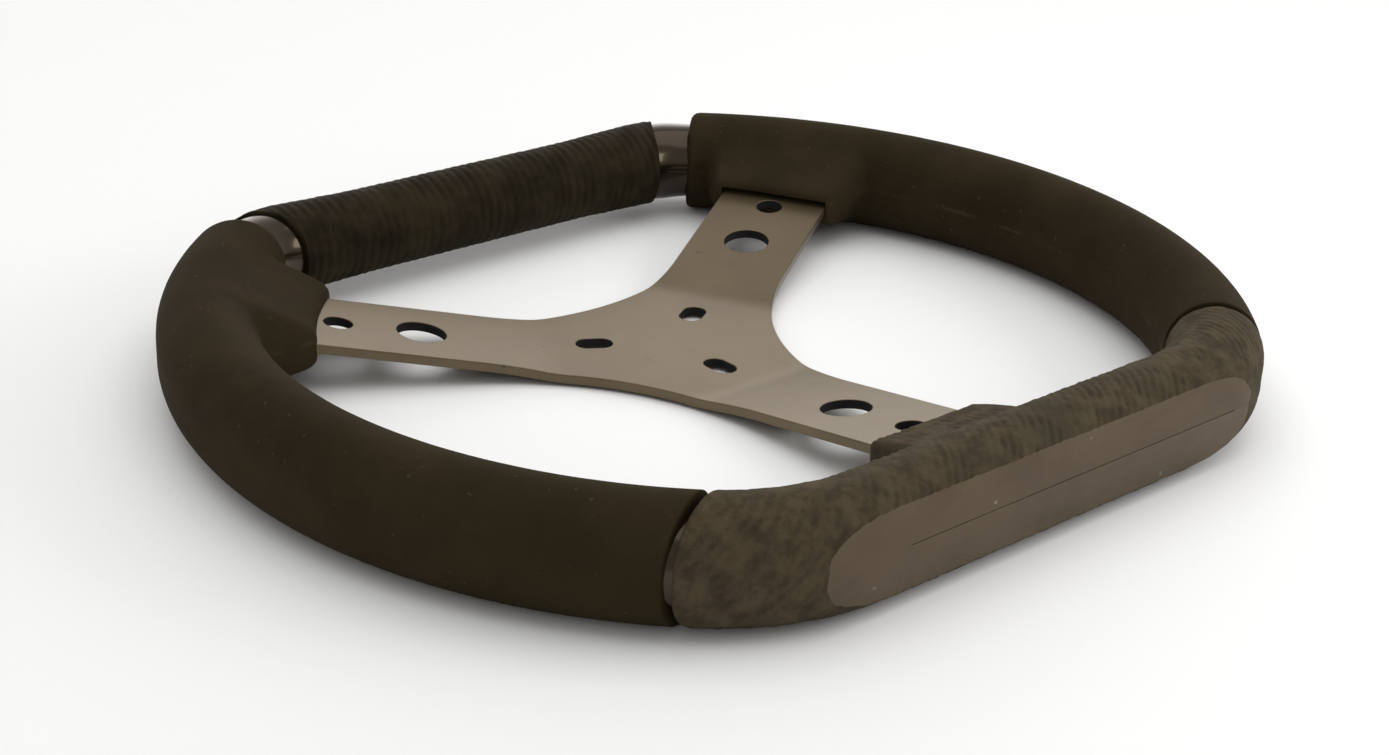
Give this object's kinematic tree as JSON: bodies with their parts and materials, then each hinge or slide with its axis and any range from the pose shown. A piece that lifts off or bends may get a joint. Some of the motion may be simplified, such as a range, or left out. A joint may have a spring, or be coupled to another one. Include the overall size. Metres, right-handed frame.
{
  "type": "steering wheel",
  "caption": "Dished steering wheel with a flat-bottomed rim, foam side grips, a textured bottom grip with a flat, a ribbed top sleeve, and a slotted spoke plate for a hub.",
  "frame": {"origin": "centre of the three hub slots, on the rear face of the spoke plate (the hub seat)", "axes": "+Z from the hub seat to the driver's side, +Y to the top bar, +X to the right-hand grip as the driver sees it"},
  "size_m": [0.33, 0.2721, 0.0346],
  "materials": {
    "tube_paint": "gloss black",
    "plate_paint": "satin dark",
    "weld_metal": "satin",
    "foam_smooth": "matte, smooth skin",
    "foam_textured": "matte, moulded texture",
    "sleeve_rubber": "matte, ribbed"
  },
  "bodies": {
    "root": {"ring_tube": "tube_paint", "ring_weld": "weld_metal", "spoke_plate": "plate_paint", "weld_left_upper": "weld_metal", "weld_left_lower": "weld_metal", "weld_right_upper": "weld_metal", "weld_right_lower": "weld_metal", "weld_bottom_upper": "weld_metal", "weld_bottom_lower": "weld_metal", "left_grip": "foam_smooth", "right_grip": "foam_smooth", "bottom_grip": "foam_textured", "top_sleeve": "sleeve_rubber"}
  },
  "joints": []
}
